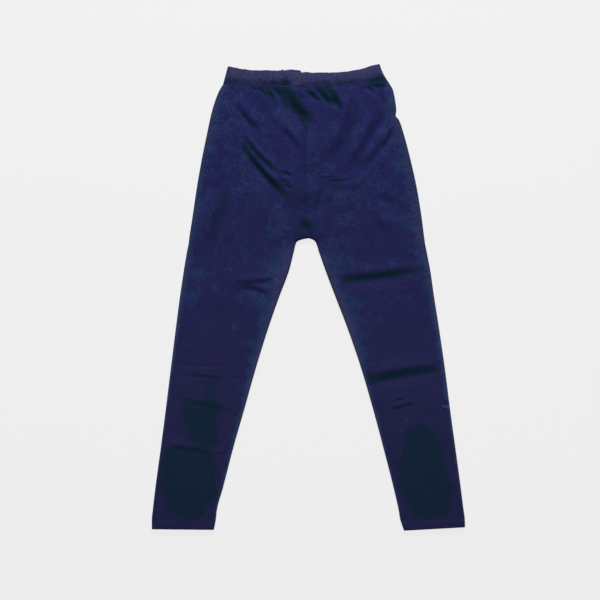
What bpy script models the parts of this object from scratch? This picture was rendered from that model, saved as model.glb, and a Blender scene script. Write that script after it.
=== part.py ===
"""A pair of women's knitted leggings, laid flat with the front up.

Two leg panels meet at a centre seam, front and back, and each closes round at its inseam below
the crotch. An elastic casing is sewn to their top edges, and a turned hem ends each leg.
+X is the wearer's left, +Y is towards the waist, and +Z is up from the surface underneath.
Sizes are in millimetres up to the point where a mesh is written in metres.
"""

import math
from collections import namedtuple

import bmesh
import bpy
from mathutils import Vector

MM = 0.001
SEAM_GAP = 0.3

# Wall thickness of each piece, and the outside radius of its fold at the sides
LEG_WALL = 1.2
LEG_FOLD = 2.4
BAND_WALL = 2.4
BAND_FOLD = 3.4
HEM_WALL = 2.0
HEM_FOLD = 2.8

# How the front layer rises from its side folds to its full height
ROLL_WIDTH = 24.0
ROLL_POWER = 2.2
SEAM_GROOVE = 0.8
SEAM_GROOVE_WIDTH = 2.2
RELIEF_FADE = 14.0
BACK_FADE = 8.0
SEAM_GROOVE_START = 30.0
WAIST_SAG = 1.4
WAIST_SAG_DEPTH = 60.0

# The crotch edge slants away from the centre seam, so the fold there is longer across the leg
CROTCH_LEVEL = 112.9
CROTCH_SLOPE = math.radians(17.0)
CROTCH_ROWS = (12.0, 6.0, 2.4, 1.0)
CROTCH_GAP_CLOSES = 8.0

# The gathers under the elastic, on each half of the front and of the back
GATHERS = 12
GATHER_HEIGHT = 0.9
GATHER_BACK_HEIGHT = 0.9
GATHER_LENGTH = 34.0
GATHER_DRIFT = 0.22
GATHER_SWELL = 9.0
GATHER_ROWS = (0.0, 7.0, 18.0, 36.0)
FRONT_SPLIT = 3
BACK_SPLIT = 10

# The grid of each leg: steps across the front and the back, and rows down to the crotch
FRONT_STEPS = 18
BACK_STEPS = 4
HIP_ROWS = 13
EDGE_CROWDING = 0.11

# The elastic casing
BAND_STEPS = 48
BAND_PUCKERS = 12
BAND_PUCKER_HEIGHT = 0.3
BAND_ROUNDING = 1.2
BAND_RISES = (0.0, 0.45, 1.0)
BAND_DOME = 1.0

# Where the casing's back edge stands above its front edge, and how high up it is there
BACK_RISE_FROM = -52.0
BACK_RISE_TO = -13.5
BACK_RISE_BLEND = 4.0
BACK_EDGE_Y = 431.0

HEM_STEPS = 10
HEM_ROUNDING = 0.9

NAVY = (0.0152, 0.0194, 0.0648, 1.0)
NAVY_BAND = (0.021, 0.025, 0.078, 1.0)
ROUGHNESS = 0.7
SHARP_ANGLE = math.radians(50.0)

Section = namedtuple("Section", "name outer_x outer_y inner_x inner_y")
RIGHT_LEG = (
    Section("waist", -162.1, 404.3, -13.1, 398.8),
    Section("below band", -169.9, 391.2, -12.2, 386.5),
    Section("upper hip", -177.1, 373.2, -9.9, 369.4),
    Section("mid hip", -185.1, 345.6, -6.5, 342.8),
    Section("hip", -193.4, 306.7, -3.6, 304.8),
    Section("seat", -202.7, 261.1, -2.7, 259.2),
    Section("low seat", -212.6, 204.1, -2.1, 204.1),
    Section("above crotch", -220.4, 150.9, -0.9, 152.8),
    Section("crotch", -226.3, CROTCH_LEVEL, -0.2, 112.1),
    Section("crotch arch", -226.6, 110.4, -9.0, 110.6),
    Section("crotch corner", -227.0, 105.3, -22.4, 105.3),
    Section("top of thigh", -230.7, 86.3, -27.5, 87.2),
    Section("upper thigh", -236.4, 52.1, -36.3, 52.1),
    Section("thigh", -243.8, 2.7, -54.7, 2.7),
    Section("low thigh", -251.7, -58.1, -76.0, -58.1),
    Section("knee", -261.2, -134.1, -99.6, -134.1),
    Section("below knee", -270.6, -210.1, -121.0, -210.1),
    Section("calf", -280.4, -286.1, -142.7, -286.1),
    Section("shin", -290.7, -362.1, -162.3, -362.1),
    Section("ankle", -295.6, -403.9, -173.7, -403.9),
    Section("hemline", -297.3, -422.0, -175.7, -422.4),
    Section("hem", -297.2, -440.0, -179.4, -441.2),
)
LEFT_LEG = (
    Section("waist", 152.8, 407.4, -13.1, 398.8),
    Section("below band", 160.0, 395.0, -12.2, 386.5),
    Section("upper hip", 164.5, 375.1, -9.9, 369.4),
    Section("side roll", 166.8, 355.1, -7.2, 350.4),
    Section("side notch", 165.7, 344.7, -6.1, 340.9),
    Section("below notch", 171.8, 337.1, -5.3, 333.3),
    Section("hip", 180.9, 310.5, -3.6, 304.8),
    Section("seat", 194.0, 261.1, -2.7, 259.2),
    Section("low seat", 206.5, 204.1, -2.1, 204.1),
    Section("above crotch", 215.1, 150.9, -0.9, 152.8),
    Section("crotch", 220.0, CROTCH_LEVEL, -0.2, 112.1),
    Section("crotch arch", 220.4, 110.4, 6.0, 110.6),
    Section("crotch corner", 221.0, 105.3, 13.3, 105.3),
    Section("top of thigh", 224.6, 86.3, 19.9, 86.3),
    Section("upper thigh", 231.2, 52.1, 31.9, 52.1),
    Section("thigh", 238.4, 2.7, 50.5, 2.7),
    Section("low thigh", 247.9, -58.1, 73.9, -58.1),
    Section("knee", 259.0, -134.1, 99.8, -134.1),
    Section("below knee", 268.7, -210.1, 122.0, -210.1),
    Section("calf", 279.1, -286.1, 142.3, -286.1),
    Section("shin", 289.4, -362.1, 161.7, -362.1),
    Section("ankle", 294.7, -403.9, 171.2, -403.9),
    Section("hemline", 296.8, -419.1, 174.4, -422.9),
    Section("hem", 297.3, -436.2, 181.4, -442.9),
)

# Rows of the grid below the crotch corner, at the outer fold, closer together at the creases
RIGHT_LEVELS = (
    *(86.3, 66.0, 44.0, 20.0, -6.0, -32.0, -58.1, -84.0, -106.0, -124.0, -137.0, -151.0),
    *(-168.0, -188.0, -202.0, -218.0, -238.0, -262.0, -279.0, -293.0, -309.0, -332.0),
    *(-356.0, -380.0, -402.0, -422.0),
)
LEFT_LEVELS = (
    *(86.3, 70.0, 58.0, 46.0, 32.0, 14.0, -10.0, -34.0, -58.1, -84.0, -106.0, -121.0),
    *(-134.0, -148.0, -166.0, -190.0, -206.0, -224.0, -250.0, -276.0, -302.0, -328.0),
    *(-354.0, -380.0, -402.0, -419.1),
)

# Full height of the front layer above the surface, at levels down the leg
Height = namedtuple("Height", "level height")
HEIGHTS = (
    Height(410.0, 5.8),
    Height(380.0, 6.2),
    Height(300.0, 6.6),
    Height(60.0, 6.6),
    Height(-130.0, 6.2),
    Height(-360.0, 5.6),
    Height(-425.0, 5.2),
)

# Top edge of the casing, from the wearer's right to left
EdgePoint = namedtuple("EdgePoint", "x y")
BAND_TOP = (
    EdgePoint(-153.1, 438.5),
    EdgePoint(-130.0, 434.0),
    EdgePoint(-101.5, 430.9),
    EdgePoint(-54.0, 430.2),
    EdgePoint(-12.2, 426.4),
    EdgePoint(31.5, 426.4),
    EdgePoint(63.8, 427.7),
    EdgePoint(88.5, 431.1),
    EdgePoint(107.5, 435.5),
    EdgePoint(124.6, 440.8),
    EdgePoint(135.3, 443.0),
)

# The largest folds of the front. A lip drops from a ridge on the waist side to a trough on the
# other side, steepest on its line. A swell is a rounded ridge.
LIP = "lip"
SWELL = "swell"
Fold = namedtuple("Fold", "name start middle end half_width height kind")
FOLDS = (
    Fold("drag line", (-124, 302), (-94, 258), (-50, 205), 9, 1.8, LIP),
    Fold("right hip crease", (-136, 373), (-117, 341), (-92, 316), 9, 1.3, LIP),
    Fold("centre wedge", (-64, 418), (-32, 367), (16, 327), 10, 2.4, LIP),
    Fold("mid front crease", (-56, 329), (-33, 305), (-10, 276), 9, 1.0, LIP),
    Fold("right waist strokes", (-90, 404), (-76, 388), (-60, 372), 9, 1.0, LIP),
    Fold("left waist tuck", (14, 402), (36, 381), (58, 356), 10, 2.0, LIP),
    Fold("casing corner", (109, 404), (127, 404), (147, 402), 9, 1.0, LIP),
    Fold("side pleat", (138, 400), (140, 381), (142, 360), 9, 1.2, LIP),
    Fold("long left fold", (87, 379), (68, 316), (26, 238), 13, 1.7, LIP),
    Fold("side left fold", (142, 360), (109, 299), (70, 234), 11, 1.8, LIP),
    Fold("low left fold", (159, 326), (130, 280), (94, 242), 9, 1.1, LIP),
    Fold("cross crease", (16, 227), (49, 228), (83, 222), 9, 1.2, LIP),
    Fold("crotch star", (-20, 140), (-5, 139), (9, 138), 9, 1.3, LIP),
    Fold("crotch pool", (-56, 193), (-16, 183), (26, 196), 12, 1.2, LIP),
    Fold("right thigh fold", (-153, 208), (-174, 143), (-202, 75), 13, 1.2, LIP),
    Fold("left thigh fold", (121, 143), (144, 136), (168, 109), 11, 0.9, LIP),
    Fold("inner thigh stroke", (-143, 25), (-100, 24), (-68, 18), 9, 1.0, LIP),
    Fold("right knee crease", (-244, -146), (-190, -149), (-120, -155), 9, 0.9, LIP),
    Fold("right calf crease", (-252, -192), (-195, -203), (-138, -218), 9, 1.2, LIP),
    Fold("right shin crease", (-278, -279), (-225, -288), (-160, -301), 9, 1.3, LIP),
    Fold("left thigh crease", (50, 25), (117, 40), (232, 49), 9, 1.6, LIP),
    Fold("left knee crease", (112, -156), (174, -144), (250, -134), 9, 1.9, LIP),
    Fold("right waist swell", (-130, 385), (-107, 352), (-77, 324), 10, 1.2, SWELL),
    Fold("mid front swell", (-73, 356), (-54, 329), (-24, 284), 10, 1.0, SWELL),
    Fold("left waist ridge", (69, 398), (73, 364), (52, 307), 9, 1.1, SWELL),
    Fold("centre bead", (7, 322), (6, 303), (1, 286), 9, 1.0, SWELL),
    Fold("left hip swell", (147, 329), (130, 305), (108, 265), 9, 1.0, SWELL),
    Fold("crotch ridge", (43, 212), (52, 185), (66, 151), 10, 1.4, SWELL),
    Fold("right seat swell", (-88, 179), (-77, 157), (-54, 124), 11, 0.9, SWELL),
    Fold("side roll", (151, 400), (154, 379), (153, 352), 9, 1.3, SWELL),
)
# The waist side of a lip is this much wider and higher than its trough
LIP_ABOVE = 1.3
# Past this many half widths a fold is not felt, and its ends taper at this rate
FOLD_REACH = 3.0
FOLD_TAPER = 3.5
FOLD_BLUNTNESS = 0.15
FOLD_PIECES = 10

Station = namedtuple("Station", "layer end at")
Leg = namedtuple("Leg", "name side edges levels")


def clamp(value, low=0.0, high=1.0):
    return max(low, min(high, value))


def ease(value):
    t = clamp(value)
    return t * t * (3.0 - 2.0 * t)


def smooth_table(keys, values):
    """A curve through a table that never overshoots it (monotone cubic), for rising keys."""
    steps = [b - a for a, b in zip(keys, keys[1:])]
    slopes = [(q - p) / h for p, q, h in zip(values, values[1:], steps)]
    tangents = [slopes[0]]
    for before, after in zip(slopes, slopes[1:]):
        same_way = before * after > 0.0
        tangents.append(2.0 * before * after / (before + after) if same_way else 0.0)
    tangents.append(slopes[-1])

    def at(key):
        i = 0
        while i < len(steps) - 1 and key > keys[i + 1]:
            i += 1
        t = clamp((key - keys[i]) / steps[i])
        t2, t3 = t * t, t * t * t
        return (
            (2 * t3 - 3 * t2 + 1) * values[i]
            + (t3 - 2 * t2 + t) * steps[i] * tangents[i]
            + (3 * t2 - 2 * t3) * values[i + 1]
            + (t3 - t2) * steps[i] * tangents[i + 1]
        )

    return at


def leg_edges(sections, side):
    """The outer fold and the inner edge of a leg, as points for a level down its outer fold."""
    rows = sorted(sections, key=lambda section: section.outer_y)
    keys = [row.outer_y for row in rows]
    outer_x = smooth_table(keys, [row.outer_x for row in rows])
    inner_x = smooth_table(keys, [row.inner_x for row in rows])
    inner_y = smooth_table(keys, [row.inner_y for row in rows])

    def edges(level):
        in_seam = ease((level - CROTCH_LEVEL) / CROTCH_GAP_CLOSES + 1.0)
        inner = Vector((inner_x(level) + side * in_seam * SEAM_GAP / 2, inner_y(level)))
        return Vector((outer_x(level), level)), inner

    return edges


full_height = smooth_table(
    [row.level for row in reversed(HEIGHTS)], [row.height for row in reversed(HEIGHTS)]
)
band_top_y = smooth_table([p.x for p in BAND_TOP], [p.y for p in BAND_TOP])
crotch_fold_length = smooth_table(
    [60.0, 86.3, 105.3, CROTCH_LEVEL],
    [LEG_FOLD, LEG_FOLD * 1.05, LEG_FOLD * 1.5, LEG_FOLD / math.sin(CROTCH_SLOPE)],
)


def fold_line(fold):
    """Points along a fold, on the curve that passes its middle point half way."""
    start, middle, end = (Vector(p) for p in (fold.start, fold.middle, fold.end))
    control = 2.0 * middle - (start + end) / 2.0
    line = []
    for n in range(FOLD_PIECES + 1):
        t = n / FOLD_PIECES
        line.append((1 - t) ** 2 * start + 2 * t * (1 - t) * control + t * t * end)
    return line


FOLD_LINES = [(fold, fold_line(fold)) for fold in FOLDS]


def relief(point):
    """How far the folds lift the front layer at a point, or let it down."""
    total = 0.0
    for fold, line in FOLD_LINES:
        nearest, along, waistward = math.inf, 0.0, True
        for n, (a, b) in enumerate(zip(line, line[1:])):
            run = b - a
            t = clamp((point - a).dot(run) / run.length_squared)
            offset = point - a - t * run
            if offset.length < nearest:
                nearest, along = offset.length, (n + t) / FOLD_PIECES
                waistward = (offset.y * run.x - offset.x * run.y) * run.x > 0.0
        if nearest > FOLD_REACH * fold.half_width:
            continue
        taper = ease(FOLD_TAPER * along + FOLD_BLUNTNESS)
        taper *= ease(FOLD_TAPER * (1.0 - along) + FOLD_BLUNTNESS)
        d = nearest / fold.half_width
        if fold.kind == SWELL:
            shape = math.exp(-d * d)
        elif waistward:
            d /= LIP_ABOVE
            shape = LIP_ABOVE * d * math.exp(0.5 - 0.5 * d * d)
        else:
            shape = -d * math.exp(0.5 - 0.5 * d * d)
        total += fold.height * taper * shape
    return total


def gather(share, below, height, phase):
    """The ridges under the elastic, at a share of the way across and a distance below it."""
    total = 0.0
    for n in range(GATHERS):
        centre = (n + 0.5 + GATHER_DRIFT * math.sin(2.1 * n + phase)) / GATHERS
        length = GATHER_LENGTH * (0.75 + 0.25 * math.sin(1.7 * n + 2.0 * phase))
        strength = 0.75 + 0.25 * math.cos(2.9 * n + phase)
        across = (share - centre) * GATHERS
        if abs(across) < 0.5:
            swell = 0.55 + 0.45 * ease(below / GATHER_SWELL)
            fade = ease(1.0 - below / length)
            total += height * strength * swell * fade * math.cos(math.pi * across) ** 2
    return total


def ring(front_steps, back_steps, front_split=1, back_split=1):
    """The stations round a section, and which of them the plain rows have too.

    They run from the inner edge over the front, round the outer fold and under the back.
    """
    stations, shared = [], []

    def add(layer, end, at, is_shared=True):
        if is_shared:
            shared.append(len(stations))
        stations.append(Station(layer, end, at))

    quarter, eighth = math.pi / 2, math.pi / 4
    add("front", "inner", 0.0)
    add("front", "inner", eighth)
    for n in range(front_steps * front_split + 1):
        add("front", "middle", n / (front_steps * front_split), n % front_split == 0)
    add("front", "outer", eighth)
    add("front", "outer", 0.0)
    add("back", "outer", eighth)
    for n in range(back_steps * back_split, -1, -1):
        add("back", "middle", n / (back_steps * back_split), n % back_split == 0)
    add("back", "inner", eighth)
    add("back", "inner", 0.0)
    return stations, shared


def distance_in(station, width, inner_fold, outer_fold):
    """How far a station is from the inner edge, along its row."""
    if station.end == "inner":
        return inner_fold * (1.0 - math.cos(station.at))
    if station.end == "outer":
        return width - outer_fold * (1.0 - math.cos(station.at))
    t = station.at
    crowded = t - EDGE_CROWDING * math.sin(2.0 * math.pi * t) / 2.0
    return inner_fold + crowded * (width - inner_fold - outer_fold)


def turn(distance, radius):
    """How far round a fold a point is: 0 at its tip, 1 where the layer has left it."""
    t = clamp(distance / radius)
    return math.sqrt(1.0 - (1.0 - t) ** 2)


def roll(distance):
    return 1.0 - (1.0 - clamp(distance / ROLL_WIDTH)) ** ROLL_POWER


def leg_point(leg, level, station):
    """The outside of a leg's cloth at a station of the row at a level."""
    outer, inner = leg.edges(level)
    above = level - CROTCH_LEVEL
    slant = math.sin(CROTCH_SLOPE)
    if above > 0.0:
        fold_length = max(LEG_FOLD, (LEG_FOLD - above * math.cos(CROTCH_SLOPE)) / slant)
    else:
        fold_length = crotch_fold_length(level)
    width = (outer - inner).length
    a = distance_in(station, width, fold_length, LEG_FOLD)
    share = a / width
    flat = inner.lerp(outer, share)
    waist = leg.edges(leg.levels[0])[0].y
    below = waist - level
    flat.y -= WAIST_SAG * 4.0 * share * (1.0 - share) * ease(1.0 - below / WAIST_SAG_DEPTH)
    if above > 0.0:
        from_inner = above * math.cos(CROTCH_SLOPE) + a * slant
    else:
        from_inner = a * LEG_FOLD / fold_length
    from_outer = width - a
    turned = min(turn(from_outer, LEG_FOLD), turn(from_inner, LEG_FOLD))
    phase = 1.0 + leg.side
    if station.layer == "back":
        lift = gather(share, below, GATHER_BACK_HEIGHT, phase + 3.0)
        z = LEG_FOLD - LEG_FOLD * turned + lift * ease(min(from_outer, from_inner) / BACK_FADE)
        return Vector((flat.x, flat.y, z))
    z = LEG_FOLD + LEG_FOLD * turned
    z += (full_height(level) - 2.0 * LEG_FOLD) * roll(from_outer) * roll(from_inner)
    lift = relief(flat) + gather(share, below, GATHER_HEIGHT, phase)
    z += lift * ease(min(from_outer, from_inner) / RELIEF_FADE)
    if above > 0.0:
        deep = SEAM_GROOVE * ease(above / SEAM_GROOVE_START)
        z -= deep * math.exp(-((a / SEAM_GROOVE_WIDTH) ** 2))
    return Vector((flat.x, flat.y, z))


def strip(upper, lower):
    """Faces between two runs of points with the same ends, one run possibly a single step."""
    if len(upper) == len(lower):
        steps = range(len(upper) - 1)
        return [(upper[n], upper[n + 1], lower[n + 1], lower[n]) for n in steps]
    faces = []
    half = len(upper) // 2
    for n in range(len(upper) - 1):
        corner = lower[0] if n < half else lower[1]
        faces.append((upper[n], upper[n + 1], corner))
    faces.append((upper[half], lower[1], lower[0]))
    return faces


def wall(name, rows, thickness, open_rows=0, rim=None, colour=NAVY):
    """A closed wall of cloth whose outside passes through the rows of points.

    Each row is its points and the indices that plain rows share. The first open_rows rows have
    a free edge at both ends, and the others close round. A rim (row, rounding) rounds that end.
    """
    bm = bmesh.new()
    outside = []
    for n, (points, _) in enumerate(rows):
        count = len(points) if n < open_rows else len(points) - 1
        verts = [bm.verts.new(p) for p in points[:count]]
        outside.append(verts if n < open_rows else verts + verts[:1])
    runs = []
    for n in range(len(rows) - 1):
        upper, lower = rows[n][1], rows[n + 1][1]
        for k in range(len(upper) - 1):
            a = [(n, i) for i in range(upper[k], upper[k + 1] + 1)]
            b = [(n + 1, i) for i in range(lower[k], lower[k + 1] + 1)]
            runs.extend(strip(a, b))
    for face in runs:
        bm.faces.new([outside[n][i] for n, i in face])
    bm.normal_update()
    middle_z = sum(v.co.z for v in bm.verts) / len(bm.verts)
    outward = sum(v.normal.z * (v.co.z - middle_z) for v in bm.verts)
    inward = math.copysign(thickness, -outward)
    inside = []
    for n, verts in enumerate(outside):
        at_end = n in (0, len(outside) - 1)
        along = (verts[len(verts) // 2].co - verts[0].co).xy.normalized()
        made = []
        for i, v in enumerate(verts):
            if n >= open_rows and i == len(verts) - 1:
                made.append(made[0])
                continue
            normal = v.normal.copy()
            across = Vector((along.x, along.y, 0.0))
            down = Vector((-along.y, along.x, 0.0))
            if at_end:
                normal -= normal.dot(down) * down
            near_seam = min(i, len(verts) - 1 - i) < 2
            if n <= open_rows and open_rows and near_seam:
                normal -= normal.dot(across) * across
            made.append(bm.verts.new(v.co + inward * normal.normalized()))
        inside.append(made)
    for face in runs:
        bm.faces.new([inside[n][i] for n, i in reversed(face)])
    for n in (0, len(rows) - 1):
        a, b = outside[n], inside[n]
        if rim and rim[0] == n:
            middle = rim_points(bm, a, b, outside[abs(n - 1)], rim[1])
            bridge(bm, a, middle)
            bridge(bm, middle, b)
        else:
            bridge(bm, a, b)
    for i in (0, -1):
        for n in range(open_rows):
            corners = (outside[n][i], outside[n + 1][i], inside[n + 1][i], inside[n][i])
            bm.faces.new(corners)
    bmesh.ops.recalc_face_normals(bm, faces=bm.faces)
    bmesh.ops.scale(bm, vec=(MM, MM, MM), verts=bm.verts)
    return finish(name, bm, colour)


def bridge(bm, a, b):
    for i in range(len(a) - 1):
        bm.faces.new((a[i], a[i + 1], b[i + 1], b[i]))


def rim_points(bm, outer, inner, before, rounding):
    """The middle of a turned edge, which stands out past the wall's two corners."""
    made = []
    for i in range(len(outer) - 1):
        onward = (outer[i].co - before[min(i, len(before) - 1)].co).xy.normalized()
        middle = (outer[i].co + inner[i].co) / 2.0
        middle += rounding * Vector((onward.x, onward.y, 0.0))
        made.append(bm.verts.new(middle))
    return made + made[:1]


def finish(name, bm, colour):
    mesh = bpy.data.meshes.new(name)
    bm.to_mesh(mesh)
    bm.free()
    mesh.shade_smooth()
    mesh.set_sharp_from_angle(angle=SHARP_ANGLE)
    piece = bpy.data.objects.new(name, mesh)
    bpy.context.scene.collection.objects.link(piece)
    mesh.materials.append(knit(name, colour))
    return piece


def knit(name, colour):
    material = bpy.data.materials.new(name)
    material.use_nodes = True
    shader = material.node_tree.nodes["Principled BSDF"]
    shader.inputs["Base Color"].default_value = colour
    shader.inputs["Roughness"].default_value = ROUGHNESS
    shader.inputs["Metallic"].default_value = 0.0
    return material


def build_leg(leg):
    """One leg panel, from the waist seam down to the hemline."""
    waist, hemline = leg.levels[0], leg.levels[-1]
    fine = ring(FRONT_STEPS, BACK_STEPS, FRONT_SPLIT, BACK_SPLIT)
    plain = ring(FRONT_STEPS, BACK_STEPS)
    levels = [(waist - drop, fine) for drop in GATHER_ROWS]
    first = waist - GATHER_ROWS[-1]
    last = CROTCH_LEVEL + CROTCH_ROWS[0]
    for n in range(1, HIP_ROWS):
        levels.append((first + (last - first) * n / HIP_ROWS, plain))
    levels += [(CROTCH_LEVEL + above, plain) for above in CROTCH_ROWS]
    open_rows = len(levels)
    levels += [(level, plain) for level in leg.levels[1:]]
    rows = []
    for level, (stations, shared) in levels:
        cut = 0.0
        if level == hemline:
            cut = SEAM_GAP / 2
        points = [leg_point(leg, level, station) for station in stations]
        rows.append(([p + Vector((0.0, cut, 0.0)) for p in points], shared))
    return wall(leg.name, rows, LEG_WALL, open_rows)


def band_ring(right, left):
    """Stations round the casing: along the front from right to left, then along the back."""
    waist_right, seam = right.edges(right.levels[0])
    waist_left, _ = left.edges(left.levels[0])
    start, end = waist_right.x, waist_left.x
    length = end - start
    right_share = (seam.x - start) / length

    def bottom(share):
        if share < right_share:
            t = share / right_share
            point = waist_right.lerp(seam, t)
        else:
            t = (share - right_share) / (1.0 - right_share)
            point = seam.lerp(waist_left, t)
        point.y += SEAM_GAP - WAIST_SAG * 4.0 * t * (1.0 - t)
        return Vector((start + share * length, point.y))

    def top(share, layer):
        x = BAND_TOP[0].x + share * (BAND_TOP[-1].x - BAND_TOP[0].x)
        y = band_top_y(x) - BAND_ROUNDING
        if layer == "back":
            within = ease((x - BACK_RISE_FROM) / BACK_RISE_BLEND + 0.5)
            within *= ease((BACK_RISE_TO - x) / BACK_RISE_BLEND + 0.5)
            y += within * max(0.0, BACK_EDGE_Y - BAND_ROUNDING - y)
        return Vector((x, y))

    stations = []
    eighth = math.pi / 4
    shares = [n / BAND_STEPS for n in range(BAND_STEPS + 1)]
    inset = BAND_FOLD / length
    tip = inset * (1.0 - math.cos(eighth))
    stations.append(("front", 0.0, 0.0))
    stations.append(("front", tip, math.sin(eighth)))
    stations += [("front", inset + t * (1.0 - 2.0 * inset), 1.0) for t in shares]
    stations.append(("front", 1.0 - tip, math.sin(eighth)))
    stations.append(("front", 1.0, 0.0))
    stations.append(("back", 1.0 - tip, math.sin(eighth)))
    stations += [("back", inset + t * (1.0 - 2.0 * inset), 1.0) for t in reversed(shares)]
    stations.append(("back", tip, math.sin(eighth)))
    stations.append(("back", 0.0, 0.0))
    return stations, bottom, top


def build_band(right, left):
    """The elastic casing: a flattened ring with a turned top edge and soft puckers."""
    stations, bottom, top = band_ring(right, left)
    rows = []
    for rise in BAND_RISES:
        points = []
        for layer, share, turned in stations:
            flat = bottom(share).lerp(top(share, layer), rise)
            wave = math.cos(2.0 * math.pi * BAND_PUCKERS * share + 1.3 * math.sin(9.0 * share))
            pucker = BAND_PUCKER_HEIGHT * wave * (1.0 - 0.5 * rise) * (turned == 1.0)
            if layer == "front":
                dome = BAND_DOME * math.sin(math.pi * rise) * turned
                z = BAND_FOLD + BAND_FOLD * turned + dome + pucker
            else:
                z = BAND_FOLD - BAND_FOLD * turned
            points.append(Vector((flat.x, flat.y, z)))
        rows.append((points, list(range(len(points)))))
    last = len(rows) - 1
    return wall("waistband", rows, BAND_WALL, rim=(last, BAND_ROUNDING), colour=NAVY_BAND)


def build_hem(name, leg, hem_section):
    """A turned hem: a tube of doubled cloth from the hemline to the end of the leg."""
    outer, inner = leg.edges(leg.levels[-1])
    hem_outer = Vector((hem_section.outer_x, hem_section.outer_y))
    hem_inner = Vector((hem_section.inner_x, hem_section.inner_y))
    stations, shared = ring(HEM_STEPS, BACK_STEPS)
    drop = (hem_outer - outer).length
    ends = (SEAM_GAP / 2 / drop, 0.5, 1.0 - HEM_ROUNDING / drop)
    rows = []
    for t in ends:
        a, b = inner.lerp(hem_inner, t), outer.lerp(hem_outer, t)
        width = (b - a).length
        points = []
        for station in stations:
            d = distance_in(station, width, HEM_FOLD, HEM_FOLD)
            turned = min(turn(d, HEM_FOLD), turn(width - d, HEM_FOLD))
            flat = a.lerp(b, d / width)
            z = HEM_FOLD + HEM_FOLD * turned * (1.0 if station.layer == "front" else -1.0)
            points.append(Vector((flat.x, flat.y, z)))
        rows.append((points, shared))
    return wall(name, rows, HEM_WALL, rim=(len(rows) - 1, HEM_ROUNDING))


def main():
    for old in list(bpy.data.objects):
        bpy.data.objects.remove(old)
    crotch = [row.outer_y for row in RIGHT_LEG if row.name.startswith("crotch")]
    right_levels = (RIGHT_LEG[0].outer_y, *crotch, *RIGHT_LEVELS)
    left_levels = (LEFT_LEG[0].outer_y, *crotch, *LEFT_LEVELS)
    right = Leg("leg_right", -1, leg_edges(RIGHT_LEG, -1), right_levels)
    left = Leg("leg_left", 1, leg_edges(LEFT_LEG, 1), left_levels)
    build_leg(right)
    build_leg(left)
    build_band(right, left)
    build_hem("hem_right", right, RIGHT_LEG[-1])
    build_hem("hem_left", left, LEFT_LEG[-1])


main()
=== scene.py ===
"""The looks of a pair of navy knitted leggings laid flat: fine cloth shells with their folds,
an elastic casing, turned hems with twin-needle stitching, the light and the camera.

The cloth follows the same sections as the solids it stands for. Sizes are in millimetres until a
mesh is written in metres. +X is the wearer's left, +Y is towards the waist, +Z is up.
"""

import math
from collections import namedtuple
from itertools import starmap

import bpy
import numpy as np
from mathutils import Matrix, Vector


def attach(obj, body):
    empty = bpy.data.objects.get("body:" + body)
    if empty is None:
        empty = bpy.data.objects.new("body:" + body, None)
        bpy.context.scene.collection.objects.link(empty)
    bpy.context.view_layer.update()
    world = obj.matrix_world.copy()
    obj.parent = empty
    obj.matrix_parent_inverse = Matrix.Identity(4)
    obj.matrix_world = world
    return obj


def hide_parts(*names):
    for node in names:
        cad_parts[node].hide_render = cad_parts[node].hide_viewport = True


MM = 0.001
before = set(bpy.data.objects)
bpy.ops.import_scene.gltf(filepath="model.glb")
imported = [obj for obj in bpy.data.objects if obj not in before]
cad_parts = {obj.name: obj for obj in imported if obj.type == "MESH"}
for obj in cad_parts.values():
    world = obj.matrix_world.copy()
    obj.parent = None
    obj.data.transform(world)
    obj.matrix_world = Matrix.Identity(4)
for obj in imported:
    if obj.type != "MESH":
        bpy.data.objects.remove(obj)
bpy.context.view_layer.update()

# The outside radius of each piece's fold at the sides, and the thickness of the cloth shown
LEG_FOLD = 2.4
LEG_CLOTH = 0.9
BAND_FOLD = 3.4
BAND_CLOTH = 2.2
HEM_FOLD = 2.8
HEM_CLOTH = 1.8
SEAM_GAP = 0.02

# How the front layer rises from its side folds to its full height, and its forms at the edges
ROLL_WIDTH = 24.0
ROLL_POWER = 2.2
SEAM_GROOVE = 0.7
SEAM_GROOVE_WIDTH = 2.2
SEAM_PUCKER_HEIGHT = 0.18
SEAM_PUCKER_LENGTH = 2.1
SEAM_PUCKER_WIDTH = 5.0
SEAM_FADE = 12.0
SEAM_GAP_FADE = 8.0
RELIEF_FADE = 9.0
UNDER_FADE = 8.0
WAIST_SAG = 1.4
WAIST_SAG_DEPTH = 60.0

# The seam allowances
TAPE_WIDTH = 10.0
TAPE_THICKNESS = 0.5
TAPE_CLEARANCE = 0.12
TAPE_STEPS = 10
TAPE_ROW_STEP = 2
TAPE_END_ROWS = 7
TAPE_FRONT_COLUMNS = 30
TAPE_BACK_COLUMNS = 24

CROTCH_LEVEL = 112.9
CROTCH_SLOPE = math.radians(17.0)
# The length of the inner edge's fold, by level up to the crotch
CROTCH_FOLDS = (
    (60.0, LEG_FOLD),
    (86.3, 1.05 * LEG_FOLD),
    (105.3, 1.5 * LEG_FOLD),
    (CROTCH_LEVEL, LEG_FOLD / math.sin(CROTCH_SLOPE)),
)

# Unevenness: its height, the size that it changes over, and the seed of its draw
Noise = namedtuple("Noise", "height size seed")
LEG_NOISE = (Noise(0.60, 33.0, 1), Noise(0.28, 12.0, 2))
SEAM_NOISE = (Noise(2.0, 9.0, 5),)
SPOT_NOISE = (Noise(0.09, 7.0, 21), Noise(0.20, 21.0, 22))
BAND_NOISE = (Noise(0.35, 14.0, 9),)
BAND_EDGE_NOISE = (Noise(0.35, 5.0, 12),)
BAND_TONE_NOISE = (Noise(0.25, 4.0, 14),)
HEM_NOISE = (Noise(0.25, 12.0, 11),)
NOISE_CELLS = 64
NOISE_START = 500.0
# Below this level and over this range the cloth lies smoother, down to this share
SMOOTH_LEVEL = -150.0
SMOOTH_RANGE = 250.0
SMOOTH_SHARE = 0.35

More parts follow.
